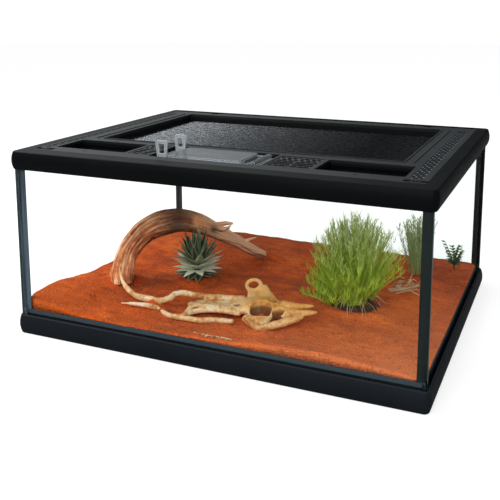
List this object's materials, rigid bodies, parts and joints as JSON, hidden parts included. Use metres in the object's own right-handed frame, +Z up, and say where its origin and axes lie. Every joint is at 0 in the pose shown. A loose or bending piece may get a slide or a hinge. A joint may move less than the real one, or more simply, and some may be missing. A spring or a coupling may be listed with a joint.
{
  "type": "reptile terrarium",
  "caption": "Low glass reptile terrarium with a hinged screen lid, a clear feeding hatch with finger catches, and a desert interior.",
  "frame": {"origin": "on the table, under the middle of the tank", "axes": "+X to the right along the length, the front faces -Y, +Z up"},
  "size_m": [0.6, 0.48, 0.29],
  "materials": {
    "frame_black": "satin moulded plastic",
    "lid_black": "satin moulded plastic",
    "glass": "clear float glass",
    "silicone": "black silicone",
    "steel": "plain steel",
    "screen": "black coated wire",
    "clear": "clear moulded plastic",
    "port_black": "matt moulded plastic",
    "sand": "red desert sand",
    "driftwood": "weathered wood",
    "bone": "cast resin, bone finish",
    "leaf_grey": "soft plastic leaves",
    "grass_green": "soft plastic leaves",
    "twig": "dry twig"
  },
  "bodies": {
    "tank": {"base_frame": "frame_black", "top_frame": "frame_black", "front_pane": "glass", "back_pane": "glass", "left_pane": "glass", "right_pane": "glass", "bottom_pane": "glass", "corner_seals": "silicone", "floor_seal": "silicone", "lid_hinge_pins": "steel", "sand_bed": "sand", "driftwood": "driftwood", "skull_ornament": "bone", "succulent": "leaf_grey", "grass_tuft": "grass_green", "rear_tuft": "grass_green", "leafy_plant": "grass_green", "dry_twigs": "twig"},
    "lid": {"lid_frame": "lid_black", "screen_long_wires": "screen", "screen_cross_wires": "screen", "screen_clamp": "lid_black", "clamp_screws": "steel", "left_vent_strip": "lid_black", "right_vent_strip": "lid_black", "left_grille": "lid_black", "right_grille": "lid_black", "left_port_cover": "port_black", "right_port_cover": "port_black", "hatch_hinge_bar": "clear", "hatch_hinge_pin": "steel"},
    "hatch": {"hatch_door": "clear", "catch_pins": "steel"},
    "front_catch": {"front_catch": "clear"},
    "back_catch": {"back_catch": "clear"},
    "left_lid_lock": {"left_lid_lock": "port_black"},
    "right_lid_lock": {"right_lid_lock": "port_black"}
  },
  "joints": [
    {"name": "lid_hinge", "type": "hinge", "parent": "tank", "child": "lid", "pos_m": [0, 0.22, 0.264], "axis": [-1, 0, 0], "range_deg": [0, 100]},
    {"name": "hatch_hinge", "type": "hinge", "parent": "lid", "child": "hatch", "pos_m": [0.047, -0.1505, 0.267], "axis": [0, 1, 0], "range_deg": [0, 110]},
    {"name": "front_catch_pivot", "type": "hinge", "parent": "hatch", "child": "front_catch", "pos_m": [-0.0875, -0.177, 0.2501], "axis": [1, 0, 0], "range_deg": [0, 8]},
    {"name": "back_catch_pivot", "type": "hinge", "parent": "hatch", "child": "back_catch", "pos_m": [-0.0875, -0.124, 0.2501], "axis": [-1, 0, 0], "range_deg": [0, 8]},
    {"name": "left_lock_slide", "type": "slide", "parent": "lid", "child": "left_lid_lock", "axis": [-1, 0, 0], "range_m": [0, 0.006]},
    {"name": "right_lock_slide", "type": "slide", "parent": "lid", "child": "right_lid_lock", "axis": [1, 0, 0], "range_m": [0, 0.006]}
  ]
}
